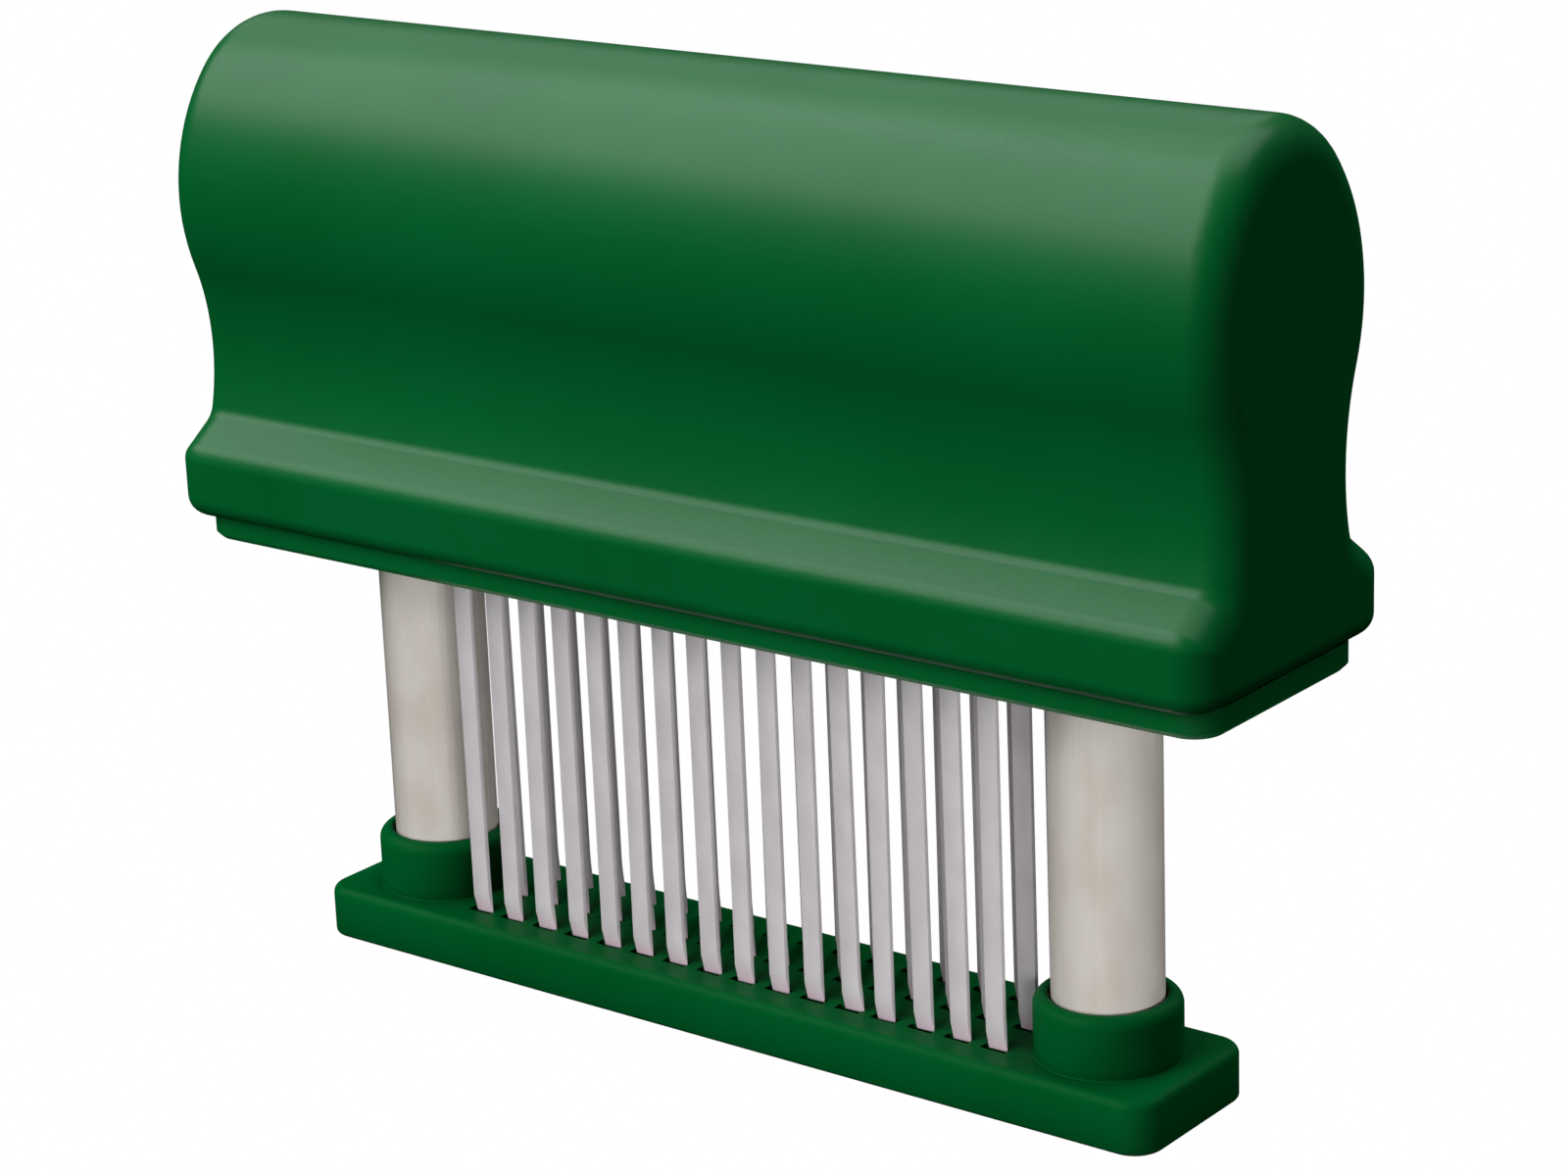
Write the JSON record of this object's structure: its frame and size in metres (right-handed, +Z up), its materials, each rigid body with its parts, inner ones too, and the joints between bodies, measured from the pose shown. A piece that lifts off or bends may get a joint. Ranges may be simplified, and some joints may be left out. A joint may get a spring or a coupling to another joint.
{
  "type": "blade meat tenderizer",
  "caption": "Hand-held blade tenderizer: T-bar handle with rows of flat stamped blades over a slotted guard foot that slides up on two sprung tube posts.",
  "frame": {"origin": "middle of the foot's underside, on the surface the tool stands on", "axes": "+X along the handle's length to its right end, +Y through the handle's thickness to its back, +Z up from the foot to the handle's crown; at rest the foot is fully down"},
  "size_m": [0.1466, 0.0374, 0.1133],
  "materials": {
    "handle_plastic": "dark green moulded ABS, satin, very fine grain",
    "foot_plastic": "dark green moulded ABS, satin",
    "block_plastic": "black moulded nylon, dull",
    "blade_steel": "stainless strip, stamped, ground tips",
    "post_steel": "stainless tube, satin with faint lengthwise drawing lines",
    "spring_steel": "bright spring wire",
    "fastener_steel": "plain stainless"
  },
  "bodies": {
    "handle": {"handle_shell": "handle_plastic", "bottom_cover": "handle_plastic", "blade_block": "block_plastic", "blades_front_row": "blade_steel", "blades_middle_row": "blade_steel", "blades_rear_row": "blade_steel", "blade_keeper_front": "fastener_steel", "blade_keeper_middle": "fastener_steel", "blade_keeper_rear": "fastener_steel", "cover_screws": "fastener_steel"},
    "foot": {"foot_plate": "foot_plastic", "post_left": "post_steel", "post_right": "post_steel", "stop_nut_left": "fastener_steel", "stop_nut_right": "fastener_steel", "post_plug_left": "block_plastic", "post_plug_right": "block_plastic", "spring_left": "spring_steel", "spring_right": "spring_steel", "foot_screws": "fastener_steel"}
  },
  "joints": [
    {"name": "foot_slide", "type": "slide", "parent": "handle", "child": "foot", "axis": [0, 0, 1], "range_m": [0, 0.0355], "stiffness_N_per_m": 1240, "springref_m": -0.012, "deforming": ["spring_left", "spring_right"]}
  ]
}
